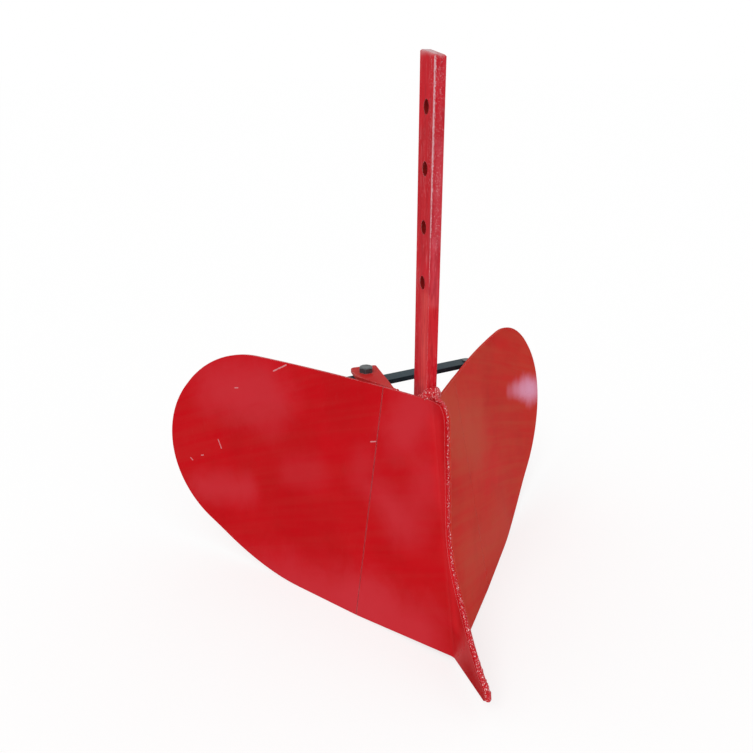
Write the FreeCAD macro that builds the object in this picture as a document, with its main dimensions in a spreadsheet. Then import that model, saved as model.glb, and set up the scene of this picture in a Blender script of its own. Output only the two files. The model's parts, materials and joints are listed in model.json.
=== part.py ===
"""Furrow opener: a flat shank, a keel-shaped nose and two wings on hinges.

Millimetres. +Z is up and the tool travels towards -Y, so "left" is +X. The origin of
the finished pieces is the middle of the shank's top hole. The sizes and the functions
count heights from the ground under the plates' bottom edges, and the last loop moves
every piece to the origin. Each flank of the tool is a plane that leans outwards and
forwards as it goes down. The nose plate and the flat root of the wing lie in that
plane, and the hinge line crosses it at right angles to its level top edge.
"""
import FreeCAD, Part
import math
import os
import Sketcher
from FreeCAD import Placement, Rotation, Vector

doc = FreeCAD.newDocument("furrow_opener")
sheet = doc.addObject("Spreadsheet::Sheet", "dims")

# alias, value and meaning of each driving dimension, in millimetres and degrees
DIMENSIONS = [
    ("shank_depth", 35.0, "shank, fore and aft"),
    ("shank_thick", 10.0, "shank, across"),
    ("shank_top", 542.2, "height of the shank's top end, at its rear edge"),
    ("shank_top_fall", 4.7, "fall of the sloping top end, from rear to front"),
    ("shank_foot", 60.0, "height of the shank's lower end, behind the nose"),
    ("shank_edge", 1.2, "chamfer round the shank's top end"),
    ("hole_dia", 12.5, "adjusting holes through the shank"),
    ("hole_pitch", 50.0, "spacing of the adjusting holes"),
    ("hole_first", 44.3, "rear edge of the top end to the first hole"),
    ("hole_count", 4.0, "number of adjusting holes"),
    ("plate_thick", 3.0, "nose plates and wings"),
    ("heading", 37.45, "flank's top edge, from straight back"),
    ("lean", 11.25, "flank's lean from upright"),
    ("flank_height", 246.5, "top edge to bottom edge, along the flank"),
    ("crease_radius", 9.0, "inside radius of the bend along the crease"),
    ("crease_setback", 28.0, "crease's top end, ahead of the shank's middle"),
    ("panel_width", 55.8, "crease to hinge line, along the top edge"),
    ("keel_rise", 6.0, "rise of the nose's bottom edge, hinge line to crease"),
    ("seam_gap", 1.5, "open gap along the hinge line"),
    ("ridge_top_reach", 58.5, "ridge's top corner, ahead of the shank's middle"),
    ("ridge_top_rise", 5.6, "ridge's top corner, above the flank's top edge"),
    ("ridge_top_radius", 14.0, "rounding of the ridge's top corner"),
    ("ridge_knee_reach", 75.8, "upper knee of the ridge, ahead"),
    ("ridge_knee_up", 101.8, "upper knee of the ridge, height"),
    ("ridge_knee_radius", 90.0, "rounding of the upper knee"),
    ("ridge_toe_reach", 144.0, "lower knee of the ridge, ahead"),
    ("ridge_toe_up", 40.5, "lower knee of the ridge, height"),
    ("ridge_toe_radius", 140.0, "rounding of the lower knee"),
    ("tip_reach", 186.5, "share point's corner before rounding, ahead"),
    ("tip_up", 20.5, "share point's corner before rounding, height"),
    ("tip_radius", 4.5, "rounding of the share point"),
    ("rib_thick", 6.0, "rib between the shank and the nose"),
    ("rib_top_drop", 12.0, "nose's top to the rib, along the crease"),
    ("rib_foot_rise", 22.0, "nose's bottom to the rib, along the crease"),
    ("wing_bend_start", 53.5, "hinge line to where the wing starts to curve"),
    ("wing_bend_radius", 875.0, "radius of the wing's curve"),
    ("wing_bend_slant", 14.5, "wing's bend lines from the hinge line"),
    ("wing_top_reach", 219.0, "wing's upper corner before rounding, along the top"),
    ("wing_top_drop", 5.0, "wing's upper corner below the hinge line's top"),
    ("wing_top_radius", 111.0, "rounding of the upper corner"),
    ("wing_tail_reach", 327.5, "wing's rear corner before rounding"),
    ("wing_tail_drop", 155.5, "wing's rear corner below the top edge"),
    ("wing_tail_radius", 104.0, "rounding of the rear corner"),
    ("wing_heel_reach", 136.0, "where the bottom edge turns up, along"),
    ("wing_heel_radius", 250.0, "rounding of the bottom edge"),
    ("knuckle_dia", 12.0, "hinge knuckles, outside"),
    ("knuckle_length", 52.0, "each nose knuckle"),
    ("knuckle_drop", 30.0, "top edge to the first knuckle"),
    ("knuckle_middle", 82.0, "wing knuckle"),
    ("knuckle_play", 0.5, "end play between knuckles"),
    ("knuckle_gap", 0.3, "plate's rear face to the knuckles"),
    ("knuckle_foot", 13.0, "width of the foot that joins a knuckle to its plate"),
    ("pin_dia", 8.0, "hinge pin"),
    ("pin_play", 0.2, "pin's running clearance, on the diameter"),
    ("pin_head_dia", 11.0, "hinge pin's head"),
    ("pin_head", 3.0, "thickness of the pin's head"),
    ("strap_thick", 4.0, "bracket, arm and lug"),
    ("bracket_drop", 1.85, "flank's top edge down to the bracket's upper face"),
    ("bracket_outer", 17.1, "bracket's outer edge, out from the right hinge line"),
    ("bracket_inner", 10.9, "bracket's inner edge, in from the right hinge line"),
    ("bracket_rear", 62.7, "bracket's rear edge, behind the hinge line"),
    ("bracket_cut", 40.0, "front of the outer edge, behind the hinge line"),
    ("bracket_root_in", 7.4, "hinge line in to the bracket's root"),
    ("bracket_root_back", 0.2, "hinge line back to the bracket's root"),
    ("bracket_corner", 5.0, "rounding of the bracket's rear outer corner"),
    ("bolt_out", 3.9, "clamp bolt, out from the right hinge line"),
    ("bolt_back", 47.7, "clamp bolt, behind the right hinge line"),
    ("bolt_dia", 8.0, "clamp bolt and link pin"),
    ("bolt_play", 0.2, "link pin's running clearance, on the diameter"),
    ("bolt_length", 28.4, "clamp bolt under its head"),
    ("bolt_turn", 12.0, "turn of the bolt's head and nut"),
    ("hole_play", 0.25, "bracket's hole and the washer, round the clamp bolt"),
    ("head_flats", 13.0, "bolt head and nut, across flats"),
    ("head_height", 5.3, "clamp bolt's head"),
    ("nut_height", 6.8, "clamp nut"),
    ("washer_dia", 16.0, "washer under the link"),
    ("washer_thick", 1.6, "washer under the link"),
    ("arm_width", 16.0, "right wing's slotted arm"),
    ("arm_gap", 0.8, "bracket to arm"),
    ("arm_past_bolt", 11.0, "arm's free end beyond the clamp bolt"),
    ("slot_play", 0.7, "slots, on each side of the clamp bolt"),
    ("link_gap", 2.2, "arm to link"),
    ("link_width", 16.0, "slotted link"),
    ("link_thick", 5.0, "slotted link"),
    ("link_pin_out", 44.1, "link pin, out from the left hinge line"),
    ("link_pin_back", 72.8, "link pin, behind the left hinge line"),
    ("link_past_bolt", 10.5, "link's slotted end beyond the clamp bolt"),
    ("link_washer_gap", 0.8, "link to the clamp bolt's washer"),
    ("lug_width", 17.0, "left wing's lug"),
    ("lug_gap", 0.3, "lug to link"),
    ("link_pin_head", 3.5, "link pin's head, under the lug"),
    ("link_pin_rivet", 1.0, "link pin's riveted end, above the link"),
    ("rivet_dia", 10.0, "link pin's riveted end, across"),
    ("open_more", 3.0, "how far the wings open beyond this setting"),
    ("close_in", 7.0, "how far the wings close in from this setting"),
]
for row, (alias, value, meaning) in enumerate(DIMENSIONS, start=1):
    sheet.set("A%d" % row, meaning)
    sheet.set("B%d" % row, str(value))
    sheet.setAlias("B%d" % row, alias)
doc.recompute()

RIGHT, LEFT = -1, 1
SIDE_NAMES = {RIGHT: "right", LEFT: "left"}
UP = Vector(0, 0, 1)
FAR = 400.0                     # longer than any piece, for cutting tools
sub_parts = []


def size(alias):
    """One driving dimension, read from the sheet."""
    return float(sheet.get(alias))


def bind(obj, **cells):
    """Tie properties of an object to expressions over the sheet's cells."""
    for name, expression in cells.items():
        obj.setExpression(name, expression)
    return obj


def sub_part(obj, label):
    """Register an object as a finished sub-part under its own name."""
    obj.Label = label
    sub_parts.append(obj)
    return obj


def shaped(label, shape, placement=Placement()):
    """A sub-part whose shape comes from the functions below."""
    feature = doc.addObject("Part::Feature", label)
    feature.Shape = shape.removeSplitter()
    feature.Placement = placement
    return sub_part(feature, label)


def outline(corners, radii):
    """Closed wire through corners, each corner rounded by its radius (0 = sharp)."""
    edges, start, first = [], None, None
    count = len(corners)
    for i in range(count):
        before, here, after = corners[i - 1], corners[i], corners[(i + 1) % count]
        to_before = (before - here).normalize()
        to_after = (after - here).normalize()
        half = to_before.getAngle(to_after) / 2
        back = radii[i] / math.tan(half)
        enter, leave = here + to_before * back, here + to_after * back
        if start is not None:
            edges.append(Part.makeLine(start, enter))
        else:
            first = enter
        if radii[i] > 0:
            inward = (to_before + to_after).normalize()
            middle = here + inward * (radii[i] / math.sin(half) - radii[i])
            edges.append(Part.Arc(enter, middle, leave).toShape())
        start = leave
    edges.append(Part.makeLine(start, first))
    return Part.Wire(edges)


def slab(corners, radii, thickness):
    """Flat plate: a rounded outline, extruded by a vector."""
    return Part.Face(outline(corners, radii)).extrude(thickness)


# ---------------------------------------------------------------- flank geometry
def flank_axes(side):
    """Along the top edge (back and out), out of the face, and up the hinge line."""
    heading, lean = math.radians(size("heading")), math.radians(size("lean"))
    along = Vector(side * math.sin(heading), math.cos(heading), 0)
    level_out = Vector(side * math.cos(heading), -math.sin(heading), 0)
    out = level_out * math.cos(lean) + UP * math.sin(lean)
    up = UP * math.cos(lean) - level_out * math.sin(lean)
    return along, out, up


def flank_top():
    """Height of the flanks' top edge: the rear face's bottom edge is on the ground."""
    lean = math.radians(size("lean"))
    return size("flank_height") * math.cos(lean) + size("plate_thick") * math.sin(lean)


def seam_top(side):
    """Top end of the hinge line, on the outer face."""
    along, out, up = flank_axes(side)
    crease = Vector(side * size("plate_thick"), -size("crease_setback"), flank_top())
    return crease + along * size("panel_width")


def flank_place(side):
    """Local X along the top edge, Z up the hinge line, outer face at Y = 0."""
    along, out, up = flank_axes(side)
    return Placement(seam_top(side), Rotation(along, up.cross(along), up, "XZY"))


def inward(side):
    """Sign of local Y towards the back of the flank."""
    return side


def axis_depth():
    """Outer face to the hinge's axis."""
    return size("plate_thick") + size("knuckle_gap") + size("knuckle_dia") / 2


def off_seam(side, out, back, height):
    """Point set out sideways and backwards from the top of a hinge line."""
    seam = seam_top(side)
    return Vector(seam.x + side * out, seam.y + back, height)


def axis_at(side, height):
    """Point of the hinge axis at a height."""
    along, out, up = flank_axes(side)
    point = seam_top(side) - out * axis_depth()
    return point + up * ((height - point.z) / up.z)


def behind_flank(side, curved):
    """Everything from the rear face of a flank forwards, as a cutting tool."""
    back = inward(side) * size("plate_thick")
    if curved:
        return wing_section(side, back, -inward(side) * FAR / 4, FAR)
    rear = back - FAR if side == LEFT else back
    return Part.makeBox(FAR, FAR, 2 * FAR, Vector(-FAR, rear, -FAR))


def wing_section(side, rear, front, reach):
    """The wing's sheet before its outline is cut: flat at its root, then curved.

    rear and front are the local Y of its two faces. The bend lines slant, so the
    section is extruded along them instead of up the hinge line."""
    flat, radius = size("wing_bend_start"), size("wing_bend_radius")
    sweep = (reach - flat) / radius
    centre = Vector(flat, -inward(side) * radius, 0)

    def face_point(depth, angle):
        rim = radius + inward(side) * depth
        return centre + Vector(math.sin(angle), inward(side) * math.cos(angle), 0) * rim

    edges = [
        Part.makeLine(Vector(-FAR, rear, 0), Vector(flat, rear, 0)),
        Part.Arc(*[face_point(rear, sweep * k / 2) for k in range(3)]).toShape(),
        Part.makeLine(face_point(rear, sweep), face_point(front, sweep)),
        Part.Arc(*[face_point(front, sweep * k / 2) for k in (2, 1, 0)]).toShape(),
        Part.makeLine(Vector(flat, front, 0), Vector(-FAR, front, 0)),
        Part.makeLine(Vector(-FAR, front, 0), Vector(-FAR, rear, 0)),
    ]
    slant = Vector(-math.tan(math.radians(size("wing_bend_slant"))), 0, 1)
    sheet_face = Part.Face(Part.Wire(edges))
    sheet_face.translate(slant * -FAR)
    return sheet_face.extrude(slant * (2 * FAR))


# ------------------------------------------------------------------------- shank
def make_shank():
    """Flat bar with a row of through holes, drawn as a body from its section."""
    body = doc.addObject("PartDesign::Body", "shank")
    origin = {item.Role: item for item in body.Origin.OriginFeatures}
    section = body.newObject("Sketcher::SketchObject", "shank_section")
    section.AttachmentSupport = [(origin["XY_Plane"], "")]
    section.MapMode = "FlatFace"
    thick, depth = size("shank_thick"), size("shank_depth")
    corners = [Vector(x * thick / 2, y * depth / 2, 0)
               for x, y in ((-1, -1), (1, -1), (1, 1), (-1, 1))]
    for i in range(4):
        section.addGeometry(Part.LineSegment(corners[i], corners[(i + 1) % 4]), False)
    for i in range(4):
        section.addConstraint(Sketcher.Constraint("Coincident", i, 2, (i + 1) % 4, 1))
    for i in range(4):
        kind = "Horizontal" if i % 2 == 0 else "Vertical"
        section.addConstraint(Sketcher.Constraint(kind, i))
    section.addConstraint(Sketcher.Constraint("Symmetric", 0, 1, 1, 2, -1, 1))
    across = section.addConstraint(Sketcher.Constraint("DistanceX", 0, 1, 0, 2, thick))
    along = section.addConstraint(Sketcher.Constraint("DistanceY", 1, 1, 1, 2, depth))
    section.setExpression("Constraints[%d]" % across, "dims.shank_thick")
    section.setExpression("Constraints[%d]" % along, "dims.shank_depth")

    bar = body.newObject("PartDesign::Pad", "shank_bar")
    bar.Profile = section
    bind(bar, Length="dims.shank_top - dims.shank_foot")
    doc.recompute()

    wedge = body.newObject("Sketcher::SketchObject", "top_wedge")
    wedge.AttachmentSupport = [(origin["YZ_Plane"], "")]
    wedge.MapMode = "FlatFace"
    half, top = depth / 2, size("shank_top") - size("shank_foot")
    fall = size("shank_top_fall")
    corners = [Vector(half, top, 0), Vector(-half, top, 0), Vector(-half, top - fall, 0)]
    for i in range(3):
        wedge.addGeometry(Part.LineSegment(corners[i], corners[(i + 1) % 3]), False)
    for i in range(3):
        wedge.addConstraint(Sketcher.Constraint("Coincident", i, 2, (i + 1) % 3, 1))
    wedge.addConstraint(Sketcher.Constraint("Horizontal", 0))
    wedge.addConstraint(Sketcher.Constraint("Vertical", 1))
    rows = [
        ("DistanceX", (-1, 1, 0, 1), half, "dims.shank_depth / 2"),
        ("DistanceY", (-1, 1, 0, 1), top, "dims.shank_top - dims.shank_foot"),
        ("DistanceX", (0, 2, 0, 1), depth, "dims.shank_depth"),
        ("DistanceY", (1, 2, 1, 1), fall, "dims.shank_top_fall"),
    ]
    for kind, ends, value, expression in rows:
        index = wedge.addConstraint(Sketcher.Constraint(kind, *ends, value))
        wedge.setExpression("Constraints[%d]" % index, expression)
    sloped = body.newObject("PartDesign::Pocket", "shank_top_slope")
    sloped.Profile = wedge
    sloped.Type = "ThroughAll"
    sloped.Midplane = True
    doc.recompute()

    lowest = sloped.Shape.BoundBox.ZMax - fall - 0.001
    top_edges = ["Edge%d" % (i + 1) for i, edge in enumerate(sloped.Shape.Edges)
                 if all(v.Z > lowest for v in edge.Vertexes)]
    eased = body.newObject("PartDesign::Chamfer", "shank_top_edge")
    eased.Base = (sloped, top_edges)
    bind(eased, Size="dims.shank_edge")
    doc.recompute()

    circle = body.newObject("Sketcher::SketchObject", "hole_circle")
    circle.AttachmentSupport = [(origin["YZ_Plane"], "")]
    circle.MapMode = "FlatFace"
    height = size("shank_top") - size("shank_foot") - size("hole_first")
    radius = size("hole_dia") / 2
    circle.addGeometry(Part.Circle(Vector(0, height, 0), Vector(0, 0, 1), radius), False)
    wide = circle.addConstraint(Sketcher.Constraint("Diameter", 0, 2 * radius))
    circle.addConstraint(Sketcher.Constraint("PointOnObject", 0, 3, -2))
    up = circle.addConstraint(Sketcher.Constraint("DistanceY", -1, 1, 0, 3, height))
    circle.setExpression("Constraints[%d]" % wide, "dims.hole_dia")
    circle.setExpression("Constraints[%d]" % up,
                         "dims.shank_top - dims.shank_foot - dims.hole_first")
    hole = body.newObject("PartDesign::Pocket", "hole")
    hole.Profile = circle
    hole.Type = "ThroughAll"
    hole.Midplane = True
    doc.recompute()

    row = body.newObject("PartDesign::LinearPattern", "hole_row")
    row.Originals = [hole]
    row.Direction = (origin["Z_Axis"], [""])
    row.Reversed = True
    bind(row, Length="dims.hole_pitch * (dims.hole_count - 1)",
         Occurrences="dims.hole_count")
    body.Tip = row
    body.Placement = Placement(Vector(0, 0, size("shank_foot")), Rotation())
    return sub_part(body, "shank")


# -------------------------------------------------------------------------- nose
def crease_point(side, drop):
    """Point of the crease, a distance down the flank from the top edge."""
    along, out, up = flank_axes(side)
    point = seam_top(side) - up * drop
    return point + along * ((side * size("plate_thick") - point.x) / along.x)


def crease_fill(side, top, foot):
    """Metal that rounds the crease into a bend, between the panel and the flange."""
    along, out, up = flank_axes(side)
    down = (foot - top).normalize()
    over_panel = (along - down * along.dot(down)).normalize()
    ahead = Vector(0, -1, 0)
    over_flange = (ahead - down * ahead.dot(down)).normalize()
    half, radius = over_panel.getAngle(over_flange) / 2, size("crease_radius")
    start = top - down * radius
    back = radius / math.tan(half)
    enter, leave = start + over_panel * back, start + over_flange * back
    middle_line = (over_panel + over_flange).normalize()
    middle = start + middle_line * (radius / math.sin(half) - radius)
    edges = [Part.makeLine(start, enter), Part.Arc(enter, middle, leave).toShape(),
             Part.makeLine(leave, start)]
    return Part.Face(Part.Wire(edges)).extrude(foot - top + down * 2 * radius)


def make_nose_plate(side):
    """One side of the nose: a leaning panel, folded into an upright flange.

    The two flanges lie back to back on the middle plane and end in the ridge."""
    gap, drop, thick = size("seam_gap") / 2, size("flank_height"), size("plate_thick")
    top, foot = crease_point(side, 0), crease_point(side, drop - size("keel_rise"))
    place = flank_place(side)
    foot_in_plane = place.inverse().multVec(foot)
    past = 1 + 4 * thick / abs(foot_in_plane.x)
    front = Vector(foot_in_plane.x * past, 0, -drop + size("keel_rise") * past)
    corners = [Vector(-gap, 0, 0), Vector(front.x, 0, 0), front, Vector(-gap, 0, -drop)]
    panel = slab(corners, [0] * 4, Vector(0, inward(side) * thick, 0))
    window = slab(corners, [0] * 4, Vector(0, -inward(side) * FAR / 8, 0))
    panel.Placement = window.Placement = place
    half_space = Part.makeBox(FAR, 2 * FAR, 2 * FAR,
                              Vector(-FAR if side == RIGHT else 0, -FAR, -FAR))
    panel = panel.common(half_space)
    corners = [
        Vector(0, top.y, top.z),
        Vector(0, -size("ridge_top_reach"), top.z + size("ridge_top_rise")),
        Vector(0, -size("ridge_knee_reach"), size("ridge_knee_up")),
        Vector(0, -size("ridge_toe_reach"), size("ridge_toe_up")),
        Vector(0, -size("tip_reach"), size("tip_up")),
        Vector(0, foot.y, foot.z),
    ]
    radii = [0, size("ridge_top_radius"), size("ridge_knee_radius"),
             size("ridge_toe_radius"), size("tip_radius"), 0]
    flange = slab(corners, radii, Vector(side * thick, 0, 0))
    bend = crease_fill(side, top, foot).common(window)
    return shaped("nose_plate_" + SIDE_NAMES[side], panel.fuse([flange, bend]))


def make_rib():
    """Upright rib that fills the middle plane between the shank and the nose."""
    top, foot = crease_point(RIGHT, 0), crease_point(RIGHT, size("flank_height"))
    down = (foot - top).normalize()
    back = -size("shank_depth") / 2
    high, low = top + down * size("rib_top_drop"), foot - down * size("rib_foot_rise")
    half = size("rib_thick") / 2
    corners = [Vector(-half, back, high.z), Vector(-half, high.y, high.z),
               Vector(-half, low.y, low.z), Vector(-half, back, size("shank_foot"))]
    blank = slab(corners, [0] * 4, Vector(2 * half, 0, 0))
    for side in (RIGHT, LEFT):
        front = behind_flank(side, curved=False)
        front.Placement = flank_place(side)
        blank = blank.cut(front)
    return shaped("nose_rib", blank)


# ------------------------------------------------------------------------- wings
def make_wing(side):
    """Egg-shaped wing: a curved sheet cut to its outline."""
    gap, drop = size("seam_gap") / 2, size("flank_height")
    corners = [
        Vector(gap, 0, 0),
        Vector(size("wing_top_reach"), 0, -size("wing_top_drop")),
        Vector(size("wing_tail_reach"), 0, -size("wing_tail_drop")),
        Vector(size("wing_heel_reach"), 0, -drop),
        Vector(gap, 0, -drop),
    ]
    radii = [0, size("wing_top_radius"), size("wing_tail_radius"),
             size("wing_heel_radius"), 0]
    cutter = slab(corners, radii, Vector(0, FAR, 0))
    cutter.translate(Vector(0, -FAR / 2, 0))
    sheet_metal = wing_section(side, inward(side) * size("plate_thick"), 0, FAR)
    return shaped("wing_" + SIDE_NAMES[side], sheet_metal.common(cutter),
                  flank_place(side))


# ------------------------------------------------------------------------ hinges
def make_knuckle(side, name, top, length_cell, on_wing):
    """Tube on the hinge axis with a foot against the rear face of its plate."""
    label = "%s_%s" % (name, SIDE_NAMES[side])
    axis_y = inward(side) * axis_depth()
    place = flank_place(side).multiply(
        Placement(Vector(0, axis_y, -top - size(length_cell)), Rotation()))
    tube = doc.addObject("Part::Cylinder", label + "_tube")
    bind(tube, Radius="dims.knuckle_dia / 2", Height="dims." + length_cell)
    foot = doc.addObject("Part::Box", label + "_foot")
    bind(foot, Length="dims.knuckle_foot - dims.seam_gap / 2", Height="dims." + length_cell,
         Width="dims.knuckle_dia / 2 + dims.knuckle_gap")
    bore = doc.addObject("Part::Cylinder", label + "_bore")
    bind(bore, Radius="(dims.pin_dia + dims.pin_play) / 2", Height="dims." + length_cell)
    reach = size("knuckle_foot")
    foot_x = size("seam_gap") / 2 if on_wing else -reach
    foot_y = size("plate_thick") - axis_depth() if side == LEFT else 0
    tube.Placement = bore.Placement = place
    foot.Placement = place.multiply(Placement(Vector(foot_x, foot_y, 0), Rotation()))
    solid = doc.addObject("Part::Fuse", label + "_solid")
    solid.Base, solid.Tool = tube, foot
    knuckle = doc.addObject("Part::Cut", label)
    knuckle.Base, knuckle.Tool = solid, bore
    return sub_part(knuckle, label)


def make_hinge(side):
    """Two knuckles on the nose, one between them on the wing, and the pin."""
    first = size("knuckle_drop")
    second = first + size("knuckle_length") + size("knuckle_play")
    third = second + size("knuckle_middle") + size("knuckle_play")
    make_knuckle(side, "nose_knuckle_top", first, "knuckle_length", False)
    make_knuckle(side, "wing_knuckle", second, "knuckle_middle", True)
    make_knuckle(side, "nose_knuckle_bottom", third, "knuckle_length", False)
    label = "hinge_pin_" + SIDE_NAMES[side]
    length = ("2 * dims.knuckle_length + dims.knuckle_middle + 2 * dims.knuckle_play"
              " + 2 * dims.pin_head")
    rod = doc.addObject("Part::Cylinder", label + "_rod")
    bind(rod, Radius="dims.pin_dia / 2", Height=length)
    head = doc.addObject("Part::Cylinder", label + "_head")
    bind(head, Radius="dims.pin_head_dia / 2", Height="dims.pin_head")
    end = third + size("knuckle_length") + size("pin_head")
    base = flank_place(side).multiply(
        Placement(Vector(0, inward(side) * axis_depth(), -end), Rotation()))
    rod.Placement = base
    head_up = end - first + size("pin_play")
    head.Placement = base.multiply(Placement(Vector(0, 0, head_up), Rotation()))
    pin = doc.addObject("Part::Fuse", label)
    pin.Base, pin.Tool = rod, head
    return sub_part(pin, label)


# ---------------------------------------------------------------- width adjuster
def bracket_top():
    """Height of the bracket's upper face."""
    return flank_top() - size("bracket_drop")


def arm_top():
    """Height of the arm's upper face, under the bracket."""
    return bracket_top() - size("strap_thick") - size("arm_gap")


def link_top():
    """Height of the link's upper face, under the arm."""
    return arm_top() - size("strap_thick") - size("link_gap")


def link_base():
    """Height of the link's lower face."""
    return link_top() - size("link_thick")


def lug_base():
    """Height of the lug's lower face, under the link."""
    return link_base() - size("strap_thick") - size("lug_gap")


def clamp_point(height):
    """Clamp bolt's axis at a height. It stands upright on the right of the tool."""
    return off_seam(RIGHT, size("bolt_out"), size("bolt_back"), height)


def link_point(height):
    """Link pin's axis at a height, behind the left wing."""
    return off_seam(LEFT, size("link_pin_out"), size("link_pin_back"), height)


def drill(shape, point, radius):
    """Cut an upright hole through a flat piece."""
    tool = Part.makeCylinder(radius, FAR, point - UP * FAR / 2)
    return shape.cut(tool)


def make_bracket():
    """Flat tab welded to the right nose plate, notched clear of the right wing."""
    z = bracket_top() - size("strap_thick")
    rear_inner = off_seam(RIGHT, -size("bracket_inner"), size("bracket_rear"), z)
    rear_outer = off_seam(RIGHT, size("bracket_outer"), size("bracket_rear"), z)
    front_outer = off_seam(RIGHT, size("bracket_outer"), size("bracket_cut"), z)
    root = off_seam(RIGHT, -size("bracket_root_in"), size("bracket_root_back"), z)
    ahead = Vector(0, -FAR / 16, 0)
    front_inner = Vector(rear_inner.x, root.y, z) + ahead
    corners = [front_inner, rear_inner, rear_outer, front_outer, root, root + ahead]
    round_off = size("bracket_corner")
    blank = slab(corners, [0, round_off / 2, round_off, round_off / 2, 0, 0],
                 UP * size("strap_thick"))
    front = behind_flank(RIGHT, curved=False)
    front.Placement = flank_place(RIGHT)
    blank = drill(blank.cut(front), clamp_point(z), size("bolt_dia") / 2 + size("hole_play"))
    return shaped("adjuster_bracket", blank)


def make_arm():
    """Right wing's arm: its slot is an arc about the hinge, so it slides past the bolt."""
    thick, z = size("strap_thick"), arm_top() - size("strap_thick")
    bolt, hinge = clamp_point(z), axis_at(RIGHT, z + thick / 2)
    hinge.z = z
    radius = (bolt - hinge).Length
    spoke = (bolt - hinge).normalize()
    to_wing = UP.cross(spoke)
    half = size("arm_width") / 2
    end, root = bolt - to_wing * size("arm_past_bolt"), bolt + to_wing * FAR / 8
    corners = [end + spoke * half, end - spoke * half, root - spoke * half,
               root + spoke * half]
    blank = slab(corners, [half - 1, half - 1, 0, 0], UP * thick)
    front = behind_flank(RIGHT, curved=True)
    front.Placement = flank_place(RIGHT)
    blank = blank.cut(front)
    slot = size("bolt_dia") / 2 + size("slot_play")
    ring = Part.makeCylinder(radius + slot, thick).cut(
        Part.makeCylinder(radius - slot, thick))
    sweep = size("open_more") + size("close_in")
    wedge = Part.makeCylinder(FAR / 4, thick, Vector(), UP, sweep)
    bearing = math.degrees(math.atan2(spoke.y, spoke.x)) - size("open_more")
    cut = ring.common(wedge)
    for turn in (0, sweep):
        disc = Part.makeCylinder(slot, thick, Vector(radius, 0, 0))
        disc.rotate(Vector(), UP, turn)
        cut = cut.fuse(disc)
    cut.rotate(Vector(), UP, bearing)
    cut.translate(hinge)
    return shaped("adjuster_arm", blank.cut(cut))


def link_slide(degrees):
    """How much further the link pin is from the clamp bolt when the left wing opens."""
    along, out, up = flank_axes(LEFT)
    pivot, bolt = link_point(link_top()), clamp_point(link_top())
    hinge = axis_at(LEFT, link_top())
    turned = Rotation(up, -degrees).multVec(pivot - hinge) + hinge
    return (turned - bolt).Length - (pivot - bolt).Length


def make_link():
    """Long strap from the left wing's lug, slotted where the clamp bolt holds it."""
    thick, z = size("link_thick"), link_base()
    bolt, pivot = clamp_point(z), link_point(z)
    line = (pivot - bolt).normalize()
    half = size("link_width") / 2
    across = UP.cross(line) * half
    end, tail = bolt - line * size("link_past_bolt"), pivot + line * half
    corners = [end - across, tail - across, tail + across, end + across]
    blank = slab(corners, [half - 1, half - 0.1, half - 0.1, half - 1], UP * thick)
    slot = size("bolt_dia") / 2 + size("slot_play")
    low = bolt - line * link_slide(size("open_more"))
    high = bolt - line * link_slide(-size("close_in"))
    side = UP.cross(line) * slot
    cut = slab([low - side, high - side, high + side, low + side], [0] * 4, UP * thick)
    for stop in (low, high):
        cut = cut.fuse(Part.makeCylinder(slot, thick, stop))
    blank = drill(blank, pivot, (size("bolt_dia") + size("bolt_play")) / 2)
    return shaped("adjuster_link", blank.cut(cut))


def make_lug():
    """Tab on the back of the left wing, under the link, that carries the link pin."""
    along, out, up = flank_axes(LEFT)
    pivot = link_point(lug_base())
    to_wing = Vector(out.x, out.y, 0).normalize()
    half = size("lug_width") / 2
    across = UP.cross(to_wing) * half
    end, root = pivot - to_wing * half, pivot + to_wing * FAR / 16
    corners = [end - across, root - across, root + across, end + across]
    blank = slab(corners, [half - 0.1, 0, 0, half - 0.1], UP * size("strap_thick"))
    front = behind_flank(LEFT, curved=True)
    front.Placement = flank_place(LEFT)
    blank = drill(blank.cut(front), pivot, size("bolt_dia") / 2)
    return shaped("wing_lug", blank)


def make_link_pin():
    """Headed pin up through the lug and the link, riveted over at its top."""
    stem = doc.addObject("Part::Cylinder", "link_pin_stem")
    bind(stem, Radius="dims.bolt_dia / 2",
         Height="dims.link_thick + dims.strap_thick + 2 * dims.lug_gap")
    head = doc.addObject("Part::Cylinder", "link_pin_head")
    bind(head, Radius="dims.pin_head_dia / 2", Height="dims.link_pin_head")
    rivet = doc.addObject("Part::Cylinder", "link_pin_rivet")
    bind(rivet, Radius="dims.rivet_dia / 2", Height="dims.link_pin_rivet")
    stem.Placement = Placement(link_point(lug_base()), Rotation())
    head.Placement = Placement(link_point(lug_base() - size("link_pin_head")), Rotation())
    rivet.Placement = Placement(link_point(link_top() + size("lug_gap")), Rotation())
    pin = doc.addObject("Part::MultiFuse", "link_pin")
    pin.Shapes = [head, stem, rivet]
    return sub_part(pin, "link_pin")


def hexagon(label, centre, height_cell):
    """Hexagon bar for the bolt's head and the nut, standing on a point."""
    prism = doc.addObject("Part::Prism", label)
    prism.Polygon = 6
    bind(prism, Circumradius="dims.head_flats / sqrt(3)", Height="dims." + height_cell)
    prism.Placement = Placement(centre, Rotation(UP, size("bolt_turn")))
    return prism


def make_bolt(label, seat, length):
    """Hexagon-head bolt, head up, with its shank hanging from the seat."""
    head = hexagon(label + "_head", seat, "head_height")
    shank = doc.addObject("Part::Cylinder", label + "_shank")
    bind(shank, Radius="dims.bolt_dia / 2", Height=length)
    doc.recompute()
    shank.Placement = Placement(seat - UP * shank.Height.Value, Rotation())
    bolt = doc.addObject("Part::Fuse", label)
    bolt.Base, bolt.Tool = head, shank
    return sub_part(bolt, label)


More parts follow.
